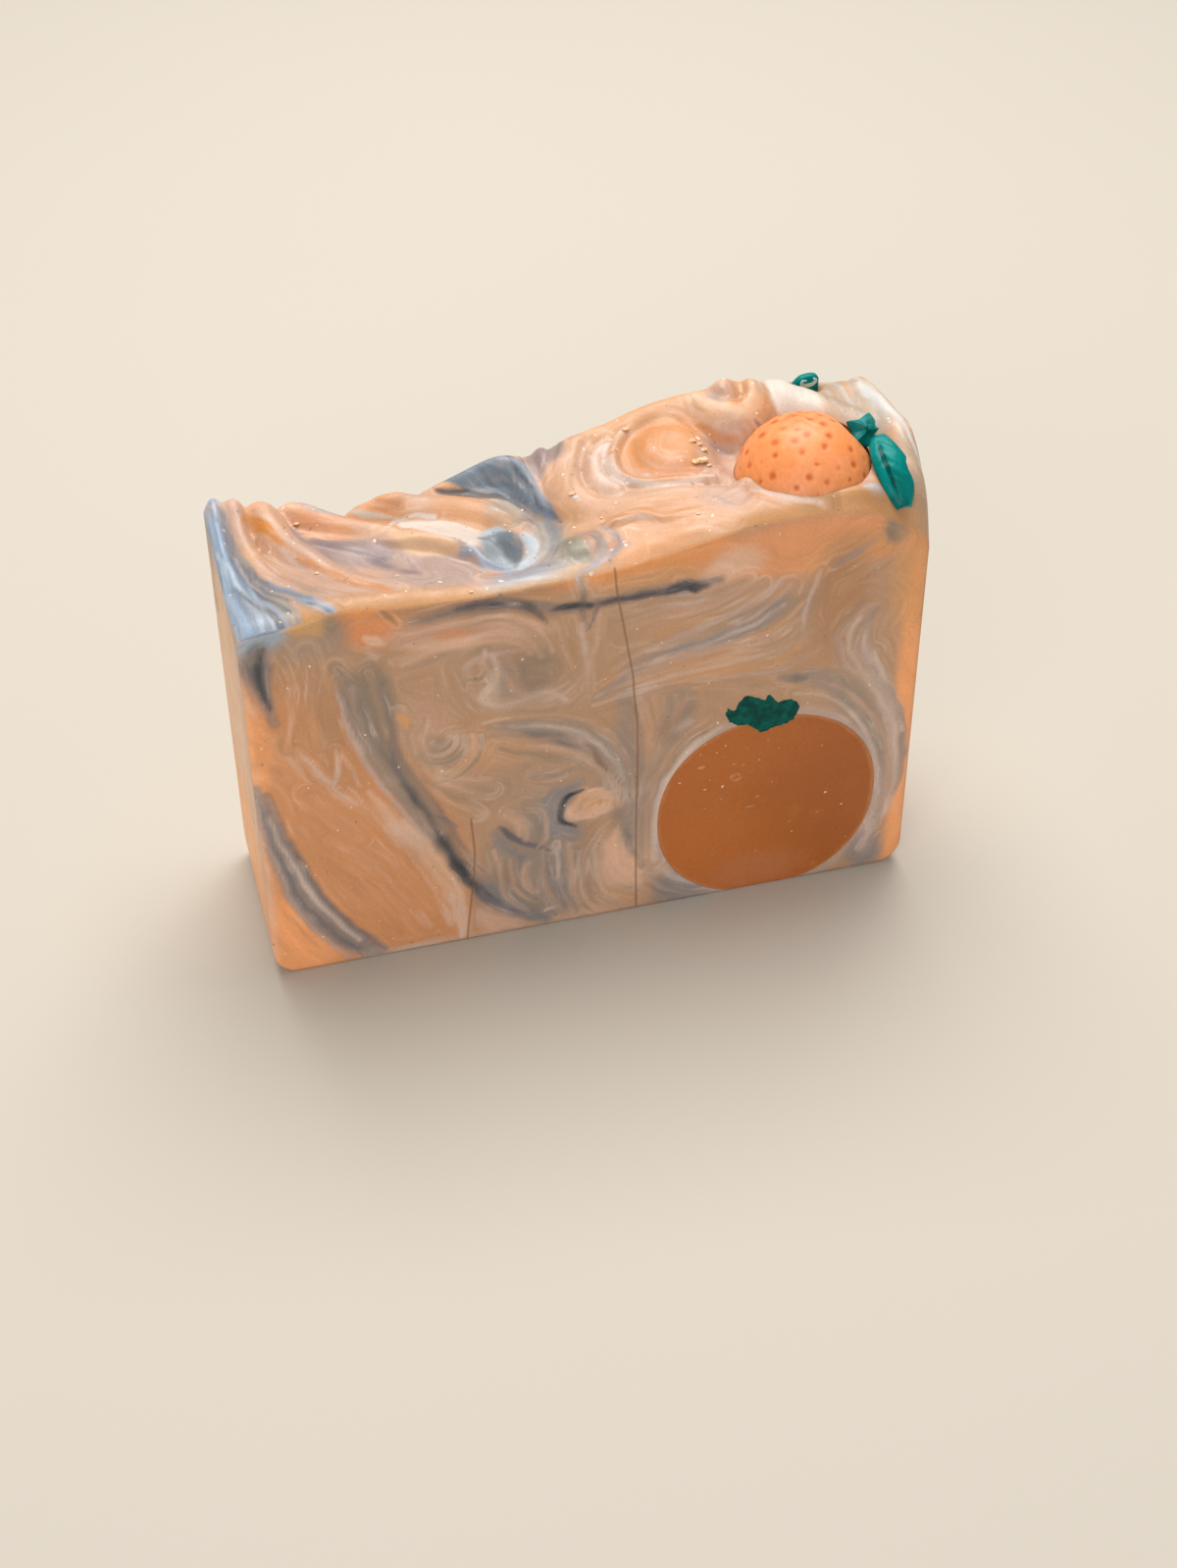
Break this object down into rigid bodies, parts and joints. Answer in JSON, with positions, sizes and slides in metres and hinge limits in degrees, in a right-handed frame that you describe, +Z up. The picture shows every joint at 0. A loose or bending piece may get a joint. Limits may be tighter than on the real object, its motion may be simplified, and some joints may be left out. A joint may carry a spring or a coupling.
{
  "type": "handmade soap bar",
  "caption": "Upright hand-cut bar of swirled soap with a wavy poured top, a small soap orange with green leaves set in it, and a round orange inlay running through.",
  "frame": {"origin": "middle of the flat bottom", "axes": "+X along the wide cut faces, with the round inlay on the +X side; -Y is the front cut face; +Z up through the poured top"},
  "size_m": [0.089, 0.026, 0.0687],
  "materials": {
    "swirled_soap": "waxy, peach, orange, grey and blue-grey swirls",
    "inlay_soap": "waxy brown-orange, with faint cutting drags",
    "green_inlay_soap": "waxy dark green",
    "orange_soap": "waxy, softly shining, dimpled",
    "green_soap": "waxy green with a clear shine"
  },
  "bodies": {
    "root": {"soap_bar": "swirled_soap", "orange_log": "inlay_soap", "green_strip": "green_inlay_soap", "top_orange": "orange_soap", "top_calyx": "green_soap", "top_leaf": "green_soap", "back_leaf": "green_soap"}
  },
  "joints": []
}
